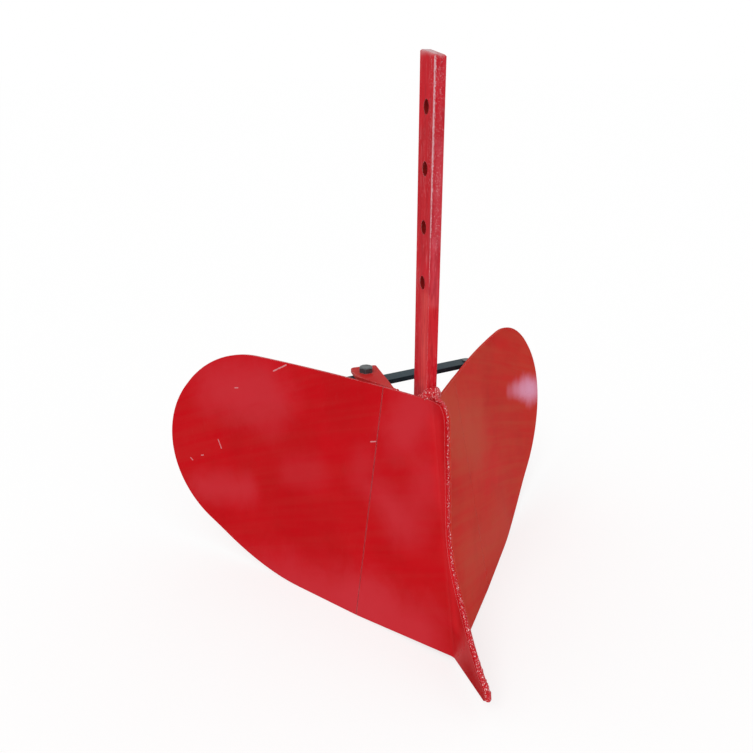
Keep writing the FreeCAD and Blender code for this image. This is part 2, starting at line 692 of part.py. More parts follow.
def make_nut(label, centre):
    """Hexagon nut, bored to sit on the bolt's shank."""
    block = hexagon(label + "_block", centre, "nut_height")
    bore = doc.addObject("Part::Cylinder", label + "_bore")
    bind(bore, Radius="dims.bolt_dia / 2", Height="dims.nut_height")
    bore.Placement = Placement(centre, Rotation())
    nut = doc.addObject("Part::Cut", label)
    nut.Base, nut.Tool = block, bore
    return sub_part(nut, label)


def make_washer(label, centre):
    """Plain washer."""
    disc = doc.addObject("Part::Cylinder", label + "_disc")
    bind(disc, Radius="dims.washer_dia / 2", Height="dims.washer_thick")
    bore = doc.addObject("Part::Cylinder", label + "_bore")
    bind(bore, Radius="dims.bolt_dia / 2 + dims.hole_play", Height="dims.washer_thick")
    disc.Placement = bore.Placement = Placement(centre, Rotation())
    washer = doc.addObject("Part::Cut", label)
    washer.Base, washer.Tool = disc, bore
    return sub_part(washer, label)


def make_clamp():
    """Bolt, washer and nut that hold the arm and the link under the bracket."""
    make_bolt("clamp_bolt", clamp_point(bracket_top()), "dims.bolt_length")
    washer_top = link_base() - size("link_washer_gap")
    washer_base = clamp_point(washer_top - size("washer_thick"))
    make_washer("clamp_washer", washer_base)
    make_nut("clamp_nut", washer_base - UP * size("nut_height"))


make_shank()
make_rib()
for each_side in (LEFT, RIGHT):
    make_nose_plate(each_side)
    make_wing(each_side)
    make_hinge(each_side)
make_bracket()
make_arm()
make_lug()
make_link()
make_clamp()
make_link_pin()

to_origin = Placement(Vector(0, 0, size("hole_first") - size("shank_top")), Rotation())
for obj in sub_parts:
    obj.Placement = to_origin.multiply(obj.Placement)
doc.recompute()

for obj in doc.Objects:
    if "Invalid" in obj.State or "Error" in obj.State:
        raise RuntimeError("%s failed: %s" % (obj.Label, obj.State))
for obj in sub_parts:
    if obj.Shape.isNull() or not obj.Shape.isValid():
        raise RuntimeError("%s has no valid shape" % obj.Label)
os.makedirs("parts", exist_ok=True)
for obj in sub_parts:
    obj.Shape.exportStep("parts/%s.step" % obj.Label)
    print("%-26s %d solid(s) %9.0f mm3" % (obj.Label, len(obj.Shape.Solids), obj.Shape.Volume))
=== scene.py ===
import json
import math
import random

import bpy
from mathutils import Matrix, Vector
from mathutils.bvhtree import BVHTree

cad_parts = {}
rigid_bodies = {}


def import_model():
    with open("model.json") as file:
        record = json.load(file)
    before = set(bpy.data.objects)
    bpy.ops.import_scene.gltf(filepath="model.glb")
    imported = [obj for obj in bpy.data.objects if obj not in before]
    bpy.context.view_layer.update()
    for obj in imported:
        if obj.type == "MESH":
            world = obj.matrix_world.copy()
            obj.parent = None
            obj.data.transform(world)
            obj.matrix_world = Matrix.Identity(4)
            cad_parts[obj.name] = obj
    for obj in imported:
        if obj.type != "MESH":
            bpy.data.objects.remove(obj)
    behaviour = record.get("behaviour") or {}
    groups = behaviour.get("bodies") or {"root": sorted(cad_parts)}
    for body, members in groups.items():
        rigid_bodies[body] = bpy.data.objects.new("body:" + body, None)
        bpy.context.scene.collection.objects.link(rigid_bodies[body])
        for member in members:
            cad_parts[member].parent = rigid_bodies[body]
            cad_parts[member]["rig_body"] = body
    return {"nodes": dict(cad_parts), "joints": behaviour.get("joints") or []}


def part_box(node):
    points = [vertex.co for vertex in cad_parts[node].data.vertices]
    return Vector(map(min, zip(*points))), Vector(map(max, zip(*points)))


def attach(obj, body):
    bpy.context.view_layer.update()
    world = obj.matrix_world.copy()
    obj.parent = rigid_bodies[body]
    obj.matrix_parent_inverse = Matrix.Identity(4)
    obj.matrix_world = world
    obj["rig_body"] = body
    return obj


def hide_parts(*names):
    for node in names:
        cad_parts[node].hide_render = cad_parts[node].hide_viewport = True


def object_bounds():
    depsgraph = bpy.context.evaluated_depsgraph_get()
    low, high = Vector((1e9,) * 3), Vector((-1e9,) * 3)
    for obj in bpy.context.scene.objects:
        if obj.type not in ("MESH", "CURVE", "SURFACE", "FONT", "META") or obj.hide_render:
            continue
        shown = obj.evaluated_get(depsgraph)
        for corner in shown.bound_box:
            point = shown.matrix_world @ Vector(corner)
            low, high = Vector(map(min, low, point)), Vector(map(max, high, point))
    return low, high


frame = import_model()
nodes = frame["nodes"]
cad_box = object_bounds()


def take(piece):
    """Make one piece the only selected one."""
    bpy.ops.object.select_all(action="DESELECT")
    piece.select_set(True)
    bpy.context.view_layer.objects.active = piece


def nothing_picked(piece, kind):
    """Leave a piece in object mode with none of its points, edges or faces picked."""
    take(piece)
    bpy.ops.object.mode_set(mode="EDIT")
    bpy.ops.mesh.select_mode(type=kind)
    bpy.ops.mesh.select_all(action="DESELECT")
    bpy.ops.object.mode_set(mode="OBJECT")


def refined(node, name):
    """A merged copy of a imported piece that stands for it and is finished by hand."""
    same_point, same_plane = 0.00001, math.radians(0.3)
    piece = bpy.data.objects.new(name, nodes[node].data.copy())
    bpy.context.scene.collection.objects.link(piece)
    take(piece)
    bpy.ops.mesh.customdata_custom_splitnormals_clear()
    bpy.ops.object.mode_set(mode="EDIT")
    bpy.ops.mesh.select_all(action="SELECT")
    bpy.ops.mesh.remove_doubles(threshold=same_point)
    bpy.ops.mesh.dissolve_limited(angle_limit=same_plane)
    bpy.ops.object.mode_set(mode="OBJECT")
    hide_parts(node)
    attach(piece, nodes[node]["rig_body"])
    return piece


def ease(piece, width, steps=3, wanted=lambda a, b: True, least=30, crumbs=0.00002):
    """Round the sharp edges of a piece, or those whose two ends are wanted, and close up
    edges shorter than crumbs."""
    take(piece)
    bpy.ops.object.mode_set(mode="EDIT")
    bpy.ops.mesh.select_mode(type="EDGE")
    bpy.ops.mesh.select_all(action="DESELECT")
    bpy.ops.mesh.edges_select_sharp(sharpness=math.radians(least))
    bpy.ops.object.mode_set(mode="OBJECT")
    mesh = piece.data
    for edge in mesh.edges:
        if edge.select:
            edge.select = wanted(*[mesh.vertices[i].co for i in edge.vertices])
    bpy.ops.object.mode_set(mode="EDIT")
    bpy.ops.mesh.bevel(offset=width, segments=steps, affect="EDGES", clamp_overlap=True)
    bpy.ops.mesh.select_mode(type="VERT")
    bpy.ops.mesh.select_all(action="SELECT")
    if crumbs:
        bpy.ops.mesh.dissolve_degenerate(threshold=crumbs)
    bpy.ops.object.mode_set(mode="OBJECT")


def smooth(piece, angle=40):
    """Smooth shading that keeps the flat faces flat."""
    take(piece)
    bpy.ops.object.shade_smooth_by_angle(angle=math.radians(angle))
    even = piece.modifiers.new("even", "WEIGHTED_NORMAL")
    even.keep_sharp = True
    bpy.ops.object.modifier_apply(modifier=even.name)


def finish_with(piece, material):
    """Give a piece one material all over."""
    piece.data.materials.clear()
    piece.data.materials.append(material)


def put(tree, kind, inputs=None, **settings):
    """Add a shader node. Inputs are values or the sockets that feed them."""
    node = tree.nodes.new("ShaderNode" + kind)
    for key, value in settings.items():
        setattr(node, key, value)
    for key, value in (inputs or {}).items():
        if isinstance(value, bpy.types.NodeSocket):
            tree.links.new(value, node.inputs[key])
        else:
            node.inputs[key].default_value = value
    return node


def sums(tree, operation, *values):
    """The result of one arithmetic node."""
    return put(tree, "Math", dict(enumerate(values)), operation=operation).outputs[0]


def mixed(tree, factor, first, second, blend="MIX"):
    """Two colours blended by a factor."""
    return put(tree, "Mix", {0: factor, 6: first, 7: second},
               data_type="RGBA", blend_type=blend).outputs[2]


def band(tree, value, low, high):
    """0 below low, 1 above high, smooth between."""
    return put(tree, "MapRange", {0: value, 1: low, 2: high},
               interpolation_type="SMOOTHSTEP").outputs[0]


def grain(tree, scale, detail=3.0, rough=0.5, distort=0.0, stretch=(1, 1, 1)):
    """Noise over the piece's own coordinates, in features per metre."""
    place = put(tree, "TexCoord").outputs["Object"]
    if tuple(stretch) != (1, 1, 1):
        place = put(tree, "Mapping", {"Vector": place, "Scale": stretch}).outputs[0]
    return put(tree, "TexNoise", {"Vector": place, "Scale": scale, "Detail": detail,
                                  "Roughness": rough, "Distortion": distort}).outputs["Fac"]


def new_material(name):
    """A new material, its shader tree and its main shader."""
    material = bpy.data.materials.new(name)
    material.use_nodes = True
    tree = material.node_tree
    return material, tree, tree.nodes["Principled BSDF"]


def bumped(tree, shader, height, distance, strength=1.0):
    """Bend a shader's normals by a height, whose unit is the distance in metres."""
    bump = put(tree, "Bump", {"Strength": strength, "Distance": distance, "Height": height})
    tree.links.new(bump.outputs[0], shader.inputs["Normal"])


def effect(name, inputs, outputs):
    """A shader node group with named sockets."""
    tree = bpy.data.node_groups.new(name, "ShaderNodeTree")
    for label, kind, value in inputs:
        socket = tree.interface.new_socket(label, in_out="INPUT", socket_type="NodeSocket" + kind)
        socket.default_value = value
    for label, kind in outputs:
        tree.interface.new_socket(label, in_out="OUTPUT", socket_type="NodeSocket" + kind)
    given, made = tree.nodes.new("NodeGroupInput"), tree.nodes.new("NodeGroupOutput")
    return tree, given.outputs, made.inputs


# Sprayed coat: cloudy tone, orange peel and slow waves, a streaky film of dust, rub marks.
sprayed, given, made = effect(
    "sprayed coat",
    [("Paint", "Color", (0.6, 0.01, 0.012, 1)), ("Film", "Color", (0.5, 0.1, 0.07, 1)),
     ("Film amount", "Float", 0.1), ("Tone", "Float", 0.2), ("Gloss roughness", "Float", 0.2),
     ("Rubs", "Float", 0.3), ("Lie", "Vector", (5, 5, 90))],
    [("Color", "Color"), ("Roughness", "Float"), ("Height", "Float")])
cloud = band(sprayed, grain(sprayed, 9.0, 3, 0.55, 0.6), 0.35, 0.7)
mottle = band(sprayed, grain(sprayed, 70.0, 4, 0.6), 0.45, 0.75)
deeper = mixed(sprayed, 1.0, given["Paint"], (0.80, 0.55, 0.55, 1), "MULTIPLY")
tone = sums(sprayed, "MULTIPLY", sums(sprayed, "MULTIPLY_ADD", mottle, 0.4, cloud), given["Tone"])
colour = mixed(sprayed, tone, given["Paint"], deeper)
spot = put(sprayed, "SeparateXYZ", {0: put(sprayed, "TexCoord").outputs["Object"]}).outputs
fall = sums(sprayed, "MULTIPLY_ADD", sums(sprayed, "ABSOLUTE", spot["X"]), 0.57, spot["Z"])
fallen = put(sprayed, "CombineXYZ", {0: spot["X"], 1: spot["Y"], 2: fall}).outputs[0]
slid = put(sprayed, "VectorMath", {0: fallen, 1: given["Lie"]}, operation="MULTIPLY").outputs[0]
streaks = put(sprayed, "TexNoise", {"Vector": slid, "Scale": 1.0, "Detail": 6.0, "Roughness": 0.62,
                                    "Distortion": 0.5}).outputs["Fac"]
streaks = band(sprayed, streaks, 0.36, 0.66)
settled = band(sprayed, grain(sprayed, 13.0, 4, 0.6, 0.4), 0.34, 0.70)
film = sums(sprayed, "MULTIPLY", sums(sprayed, "MULTIPLY_ADD", settled, 0.3,
                                      sums(sprayed, "MULTIPLY_ADD", streaks, 0.65, 0.2)),
            given["Film amount"])
colour = mixed(sprayed, film, colour, given["Film"])
rub = band(sprayed, grain(sprayed, 260.0, 5, 0.72, 1.2, (1, 1, 0.22)), 0.54, 0.66)
rub = sums(sprayed, "MULTIPLY", rub, sums(sprayed, "MULTIPLY_ADD", settled, 0.7, 0.3))
rub = sums(sprayed, "MULTIPLY", rub, given["Rubs"])
colour = mixed(sprayed, sums(sprayed, "MULTIPLY", rub, 0.5), colour, (0.72, 0.24, 0.26, 1))
rough = sums(sprayed, "MULTIPLY_ADD", film, 0.22, given["Gloss roughness"])
rough = sums(sprayed, "MULTIPLY_ADD", rub, 0.2, rough)
peel = sums(sprayed, "MULTIPLY", grain(sprayed, 420.0, 2, 0.5), 0.05)
wave = sums(sprayed, "MULTIPLY", grain(sprayed, 14.0, 2, 0.4), 1.6)
height = sums(sprayed, "MULTIPLY_ADD", rub, -0.03, sums(sprayed, "ADD", peel, wave))
for label, socket in (("Color", colour), ("Roughness", rough), ("Height", height)):
    sprayed.links.new(socket, made[label])

# Worn edge: where an edge is near, broken up by noise.
worn_edge, given, made = effect(
    "worn edge", [("Reach", "Float", 0.0015), ("Amount", "Float", 0.5)], [("Mask", "Float")])
rounded = put(worn_edge, "Bevel", {"Radius": given["Reach"]}, samples=6).outputs[0]
facing = put(worn_edge, "NewGeometry").outputs["Normal"]
turn = put(worn_edge, "VectorMath", {0: rounded, 1: facing},
           operation="DOT_PRODUCT").outputs["Value"]
edge = sums(worn_edge, "SUBTRACT", 1.0, turn)
level = sums(worn_edge, "ADD",
             sums(worn_edge, "MULTIPLY_ADD", edge, 3.0, grain(worn_edge, 190.0, 5, 0.68)),
             sums(worn_edge, "SUBTRACT", given["Amount"], 1.25))
worn = sums(worn_edge, "MULTIPLY", band(worn_edge, level, 0.0, 0.12),
            band(worn_edge, edge, 0.01, 0.05))
worn_edge.links.new(worn, made["Mask"])

# Mark: a stroke between two points of the piece, ragged for a scratch, soft for a patch, among them
# painted reflections and painted shade.
mark, given, made = effect(
    "mark",
    [("Start", "Vector", (0, 0, 0)), ("End", "Vector", (0, 0, 1)), ("Width", "Float", 0.001),
     ("Core", "Float", 0.55), ("Ragged", "Float", 1.0), ("Grain", "Float", 700.0)],
    [("Mask", "Float")])
place = put(mark, "TexCoord").outputs["Object"]
run = put(mark, "VectorMath", {0: given["End"], 1: given["Start"]}, operation="SUBTRACT").outputs[0]
reach = put(mark, "VectorMath", {0: place, 1: given["Start"]}, operation="SUBTRACT").outputs[0]
along = put(mark, "VectorMath", {0: reach, 1: run}, operation="DOT_PRODUCT").outputs["Value"]
whole = put(mark, "VectorMath", {0: run, 1: run}, operation="DOT_PRODUCT").outputs["Value"]
part = put(mark, "Clamp", {0: sums(mark, "DIVIDE", along, whole)}).outputs[0]
foot = put(mark, "VectorMath", {0: run, "Scale": part}, operation="SCALE").outputs[0]
miss = put(mark, "VectorMath", {0: reach, 1: foot}, operation="DISTANCE").outputs["Value"]
break_up = put(mark, "TexNoise", {"Vector": place, "Scale": given["Grain"], "Detail": 5.0,
                                  "Roughness": 0.65, "Distortion": 0.6}).outputs["Fac"]
break_up = sums(mark, "MULTIPLY", sums(mark, "SUBTRACT", break_up, 0.5), given["Ragged"])
near = sums(mark, "ADD", sums(mark, "DIVIDE", miss, given["Width"]), break_up)
rearward = put(mark, "SeparateXYZ", {0: put(mark, "TexCoord").outputs["Normal"]}).outputs["Y"]
ahead_only = sums(mark, "SUBTRACT", 1.0, band(mark, rearward, 0.2, 0.4))
mask = sums(mark, "SUBTRACT", 1.0, band(mark, near, given["Core"], 1.1))
mark.links.new(sums(mark, "MULTIPLY", mask, ahead_only), made["Mask"])


def stroke(tree, start, end, width, core=0.55, ragged=1.0, fine=700.0):
    """The mask of one mark in a material."""
    return put(tree, "Group", {"Start": start, "End": end, "Width": width, "Core": core,
                               "Ragged": ragged, "Grain": fine}, node_tree=mark).outputs["Mask"]


def enamelled(name, paint, film=(0.42, 0.07, 0.05, 1), film_amount=0.12, tone=0.5, gloss=0.24,
              rubs=0.03, level=0.022, wear=0.2, reach=0.0009, bare=(0.62, 0.30, 0.29, 1),
              lie=(5, 5, 90), patches=(), scratches=(), soft=0.5, depth=0.45, specks=0.0,
              fine=700.0):
    """Red enamel with soft patches of another tone and shine, which also give painted reflections
    and painted shade, and scratches down to bare.
    """
    material, tree, shader = new_material(name)
    coat = put(tree, "Group", {"Paint": paint, "Film": film, "Film amount": film_amount,
                               "Tone": tone, "Gloss roughness": gloss, "Rubs": rubs, "Lie": lie},
               node_tree=sprayed).outputs
    colour, rough = coat["Color"], coat["Roughness"]
    for patch_colour, shine, places in patches:
        for start, end, width, strength in places:
            blot = stroke(tree, start, end, width, core=0.0, ragged=0.9, fine=24.0)
            patch = sums(tree, "MULTIPLY", blot, strength)
            colour = mixed(tree, patch, colour, patch_colour)
            if shine:
                rough = sums(tree, "MULTIPLY_ADD", patch, -shine, rough)
    worn = put(tree, "Group", {"Reach": reach, "Amount": wear}, node_tree=worn_edge).outputs["Mask"]
    if scratches:
        struck = 0.0
        for start, end, width, *force in scratches:
            blow = stroke(tree, start, end, width, soft, 1.0, fine)
            if force:
                blow = sums(tree, "MULTIPLY", blow, force[0])
            struck = sums(tree, "MAXIMUM", struck, blow)
        speckle = grain(tree, fine, 5, 0.75, 0.6, (1, 1, 0.5))
        chipped = sums(tree, "MULTIPLY_ADD", struck, depth, speckle)
        worn = sums(tree, "MAXIMUM", worn, band(tree, chipped, 0.78 - specks, 0.84 - specks))
    tree.links.new(mixed(tree, worn, colour, bare), shader.inputs["Base Color"])
    tree.links.new(sums(tree, "MULTIPLY_ADD", worn, 0.2, rough), shader.inputs["Roughness"])
    bumped(tree, shader, sums(tree, "MULTIPLY_ADD", worn, -0.08, coat["Height"]), 0.0006)
    shader.inputs["Specular IOR Level"].default_value = level
    return material


shank = refined("shank", "shank_bar")
half_thick, half_deep, nearly = 0.005, 0.0175, 0.0005
ease(shank, 0.0011, 3, lambda a, b: min(abs(a.x), abs(b.x)) > half_thick - nearly
     and min(abs(a.y), abs(b.y)) > half_deep - nearly)
ease(shank, 0.0005, 2)
smooth(shank)
side_face, front_face = -half_thick, -half_deep
rubbed_ends = [((side_face, front_face, 0.044), (side_face, front_face, -0.040), 0.0030),
               ((side_face, front_face, -0.040), (side_face, front_face, -0.105), 0.0022),
               ((side_face, front_face, -0.105), (side_face, front_face, -0.150), 0.0012, 0.7),
               ((0.0005, front_face, 0.040), (0.0005, front_face, -0.120), 0.0080, 0.36),
               ((side_face, -0.0100, 0.042), (side_face, -0.0120, -0.060), 0.0080, 0.34)]
front_haze = [((0.001, front_face, 0.040), (0.001, front_face, -0.030), 0.0080, 0.14),
              ((0.001, front_face, -0.030), (0.001, front_face, -0.110), 0.0090, 0.30),
              ((0.000, front_face, -0.110), (0.000, front_face, -0.165), 0.0065, 0.40)]
foot_haze = [((side_face, -0.008, -0.165), (side_face, -0.008, -0.245), 0.015, 0.55)]
sawn_end = [((0.000, -0.016, 0.0445), (0.000, 0.014, 0.0445), 0.0075, 1.0)]
shank_red = enamelled("red enamel, shank", (0.64, 0.004, 0.015, 1), film=(0.66, 0.14, 0.16, 1),
                      film_amount=0.10, tone=0.8, gloss=0.42, rubs=1.0, level=0.012, wear=-0.05,
                      bare=(0.78, 0.46, 0.50, 1), lie=(110, 110, 9), scratches=rubbed_ends,
                      soft=-0.1, depth=0.28, specks=0.115, fine=1500.0,
                      patches=[((0.72, 0.13, 0.17, 1), 0, front_haze),
                               ((0.80, 0.10, 0.09, 1), 0, foot_haze),
                               ((0.66, 0.56, 0.58, 1), 0, sawn_end)])
tree = shank_red.node_tree
shader = tree.nodes["Principled BSDF"]
brushed = band(tree, grain(tree, 260.0, 5, 0.70, 0.8, (1, 1, 0.10)), 0.46, 0.64)
tree.links.new(mixed(tree, sums(tree, "MULTIPLY", brushed, 0.45),
                     shader.inputs["Base Color"].links[0].from_socket, (0.36, 0.003, 0.012, 1)),
               shader.inputs["Base Color"])
finish_with(shank, shank_red)
# The bores are given a darker red coat: painted shade inside the holes.
shank.data.materials.append(enamelled(
    "red enamel, bores in painted shade", (0.24, 0.006, 0.008, 1), film_amount=0.3,
    film=(0.20, 0.03, 0.02, 1), gloss=0.5, rubs=0.4, level=0.01))
inside_edges, under_top = 0.012, 0.03
for face in shank.data.polygons:
    along_bore = abs(face.normal.x) < 0.5
    if along_bore and abs(face.center.y) < inside_edges and face.center.z < under_top:
        face.material_index = 1

# ------------------------------------------------------------------- nose plates
# Two folded steel sheets, each a leaning panel and an upright flange with a soft bend
# between them. The flanges stand back to back on the tool's middle and make the ridge
# and the point. The panels carry the hinges.
def flank(side):
    """A hinge's axis, and the flank's directions: back along it, out of it and up it."""
    joint = next(j for j in frame["joints"] if j["name"] == "wing_%s_hinge" % side)
    up = Vector(joint["axis"])
    up = up if up.z > 0 else -up
    level = -Vector((up.x, up.y, 0)).normalized()
    back = Vector((-level.y if side == "left" else level.y, abs(level.x), 0))
    out = level * up.z + Vector((0, 0, math.hypot(up.x, up.y)))
    return back, out, up


def close_seam(sheet, side, towards):
    """Bring a sheet's seam edge nearer its neighbour, back being 1 and ahead -1."""
    back = flank(side)[0]
    reaches = [v.co.dot(back) * towards for v in sheet.data.vertices]
    nothing_picked(sheet, "VERT")
    for vertex, reach in zip(sheet.data.vertices, reaches):
        vertex.select = reach > max(reaches) - on_edge
    bpy.ops.object.mode_set(mode="EDIT")
    bpy.ops.transform.translate(value=back * towards * seam_shift)
    bpy.ops.object.mode_set(mode="OBJECT")


def skin_of(node):
    """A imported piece's surface, for the points that lie on it."""
    metal = nodes[node].data
    return BVHTree.FromPolygons([v.co for v in metal.vertices],
                                [p.vertices for p in metal.polygons])


def on_sheet(side, out, down):
    """A point of a side's front face, in mm out from its seam and down from the seam's top."""
    back, ahead, up = flank(side)
    corners = [v.co for v in nodes["nose_plate_" + side].data.vertices]
    far = max(point.dot(back) for point in corners)
    seam = [point for point in corners if point.dot(back) > far - on_edge]
    top = max(seam, key=lambda point: point.dot(up) + point.dot(ahead))
    place = top + (back * out - up * down) / 1000
    for node in ("nose_plate_" + side, "wing_" + side):
        hit = skin_of(node).ray_cast(place + ahead * clear_of_it, -ahead)[0]
        if hit is not None:
            return hit
    return place


def strokes_on(side, *marks):
    """Marks on one side's sheets: out and down at each end and width in mm, then the rest."""
    return [(on_sheet(side, *start), on_sheet(side, *end), width / 1000, *rest)
            for start, end, width, *rest in marks]


# The seam is drawn tighter than the gap it runs with, by more than paint would build up.
seam_shift = 0.00044
on_edge, clear_of_it = 0.0001, 0.1
# Patch colours: a pale pink and a pale violet that paint reflections, a brown that is partly dust
# and partly painted reflection, a saturated red that paints shade on the right flange, and a dark
# red that darkens the point.
reflection_pink, dust_and_reflection_brown = (0.60, 0.034, 0.046, 1), (0.56, 0.092, 0.050, 1)
reflection_lilac, darker_red, shade_red = (0.84, 0.36, 0.54, 1), (0.36, 0.004, 0.006, 1), (0.70, 0.018, 0.024, 1)
handling = strokes_on("right", ((140, 15), (124, 5), 1.0), ((210, 111), (205, 120), 0.8),
                      ((248, 143), (245, 145), 0.8), ((233, 136), (230, 135), 0.8),
                      ((190, 45), (186, 44), 0.8), ((8, 58), (2, 56), 0.8))
# Soft pale pink washes over the right side's sheets: painted reflections.
right_painted_reflections = strokes_on("right", ((210, 50), (145, 40), 52, 0.70),
                         ((170, 70), (140, 75), 34, 0.30), ((230, 175), (170, 160), 28, 0.65),
                         ((105, 120), (75, 110), 30, 0.38), ((15, 80), (15, 100), 26, 0.38),
                         ((170, 280), (5, 235), 60, 0.80), ((-40, 15), (-30, 40), 42, 0.70),
                         ((-15, 110), (-30, 125), 28, 0.60), ((-60, 80), (-45, 130), 36, 0.50),
                         ((-10, 235), (-75, 235), 54, 0.80))
# Brown washes on the left side, partly dust and partly a painted reflection of brown ground.
left_dust_and_reflection = strokes_on("left", ((-50, 20), (45, 85), 58, 0.58), ((-45, 180), (100, 225), 44, 0.35))
# A pale violet streak by the left wing's outer top edge, with less roughness: a painted reflection.
left_painted_reflection = strokes_on("left", ((250, 112), (275, 124), 26, 0.75),
                        ((228, 102), (268, 120), 22, 0.55), ((205, 94), (250, 111), 17, 0.38),
                        ((180, 86), (225, 102), 12, 0.22))
# A saturated red band down the right flange's face: painted shade.
flange_painted_shade = [((-0.003, -0.040, -0.275), (-0.003, -0.105, -0.450), 0.016, 0.75)]
# The point made darker red and rougher towards its tip.
tip_darkened = [((-0.003, -0.145, -0.485), (-0.003, -0.165, -0.490), 0.034, 0.85)]
side_red = {
    "right": enamelled("red enamel, right side", (0.575, 0.002, 0.008, 1),
                       bare=(0.66, 0.24, 0.26, 1), scratches=handling,
                       patches=[(reflection_pink, 0, right_painted_reflections), (shade_red, 0, flange_painted_shade),
                                (darker_red, -0.4, tip_darkened)]),
    # The left side's brown film is partly dust and partly painted reflection.
    "left": enamelled("red enamel, left side", (0.66, 0.010, 0.009, 1), film=dust_and_reflection_brown,
                      film_amount=0.40, gloss=0.48, tone=0.7, wear=-0.3,
                      patches=[(dust_and_reflection_brown, 0, left_dust_and_reflection), (reflection_lilac, 0.2, left_painted_reflection)]),
}


def in_profile(point):
    """A point's place seen from the side, rounded so that places can be compared."""
    return round(point.y, 5), round(point.z, 5)


def on_front(*ends):
    """Whether all these points lie on the flange's front edge, at its outer face."""
    return all(in_profile(end) in front_outline and abs(end.x) > inner_face for end in ends)


inner_face = 0.002
front_outline = {in_profile(v.co) for v in nodes["nose_plate_left"].data.vertices
                 if abs(v.co.x) < 0.00001}
for side in ("right", "left"):
    plate = refined("nose_plate_" + side, "nose_sheet_" + side)
    close_seam(plate, side, 1)
    # The bevel's own limit leaves this edge nearly sharp, with slivers along it. They stay,
    # as closing up its shortest edges tears the sheet open.
    ease(plate, 0.0011, 4, on_front, crumbs=0)
    smooth(plate)
    finish_with(plate, side_red[side])

# ------------------------------------------------------------------- rib
# Upright plate behind the ridge that ties the shank's foot to the bend of both nose
# plates. Cut from 6 mm steel and painted with the rest.
rib = refined("nose_rib", "rib_plate")
ease(rib, 0.0005, 2)
smooth(rib)
inside_red = enamelled("red enamel, behind the nose", (0.50, 0.008, 0.010, 1),
                       film_amount=0.35, gloss=0.34, rubs=0.25, wear=0.35)
finish_with(rib, inside_red)

# ------------------------------------------------------------------- welds of the nose
# Runs of electric weld that close the ridge, knot the shank's foot to the plates' top
# and tie in the rib. Each is a row of overlapping drops flowed into one skin, and the
# enamel over it carries painted highlights and painted shade specks on the ripples.
def lay_bead(name, path, width, body="nose", pitch=0.33, jitter=0.12, voxel=0.00045):
    """A run of weld along a path, as wide as given at its two ends."""
    drops = random.Random(name)
    widths = width if isinstance(width, tuple) else (width, width)
    lengths = [(b - a).length for a, b in zip(path, path[1:])]
    total, at, first = sum(lengths), 0.0, True
    while at <= total:
        share, left, leg = at / total, at, 0
        while leg < len(lengths) - 1 and left > lengths[leg]:
            left -= lengths[leg]
            leg += 1
        wide = widths[0] + (widths[1] - widths[0]) * share
        centre = path[leg].lerp(path[leg + 1], min(1.0, left / lengths[leg]))
        centre = centre + Vector([drops.uniform(-1, 1) * wide * jitter for _ in range(3)])
        radius = wide / 2 * drops.uniform(0.86, 1.12)
        bpy.ops.mesh.primitive_ico_sphere_add(subdivisions=2, radius=radius, location=centre,
                                              scale=(1, 1, drops.uniform(0.85, 1.1)))
        if first:
            bead = bpy.context.object
            take(bead)
            bpy.ops.object.transform_apply(location=True, rotation=True, scale=True)
            bpy.ops.object.mode_set(mode="EDIT")
            first = False
        at += wide * pitch * drops.uniform(0.8, 1.2)
    bpy.ops.object.mode_set(mode="OBJECT")
    bead.name = name
    flow = bead.modifiers.new("flow", "REMESH")
    flow.mode, flow.voxel_size = "VOXEL", voxel
    settle = bead.modifiers.new("settle", "SMOOTH")
    settle.factor, settle.iterations = 0.5, 2
    ripple = bead.modifiers.new("ripple", "DISPLACE")
    ripple.texture = bpy.data.textures.new(name, "CLOUDS")
    ripple.texture.noise_scale = 0.0016
    ripple.strength, ripple.mid_level = 0.0006, 0.5
    for modifier in (flow, settle, ripple):
        bpy.ops.object.modifier_apply(modifier=modifier.name)
    bpy.ops.object.shade_smooth()
    finish_with(bead, weld_red)
    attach(bead, body)


weld_red, tree, shader = new_material("red enamel over weld")
pale = band(tree, grain(tree, 480.0, 3, 0.6), 0.42, 0.72)
colour = mixed(tree, sums(tree, "MULTIPLY", pale, 0.35),
               (0.56, 0.008, 0.014, 1), (0.80, 0.12, 0.16, 1))
# Dark red specks: painted shade in the bead's hollows.
shade_specks = band(tree, grain(tree, 620.0, 2, 0.5), 0.60, 0.72)
colour = mixed(tree, sums(tree, "MULTIPLY", shade_specks, 0.8), colour, (0.26, 0.005, 0.007, 1))
# Pale pink specks: painted highlights on the ripples.
painted_glints = band(tree, grain(tree, 900.0, 2, 0.55, 0.4), 0.60, 0.65)
colour = mixed(tree, painted_glints, colour, (1.0, 0.68, 0.68, 1))
tree.links.new(colour, shader.inputs["Base Color"])
tree.links.new(sums(tree, "MULTIPLY_ADD", pale, 0.15, 0.24), shader.inputs["Roughness"])
bumped(tree, shader, grain(tree, 760.0, 4, 0.6), 0.0004)
shader.inputs["Specular IOR Level"].default_value = 0.12

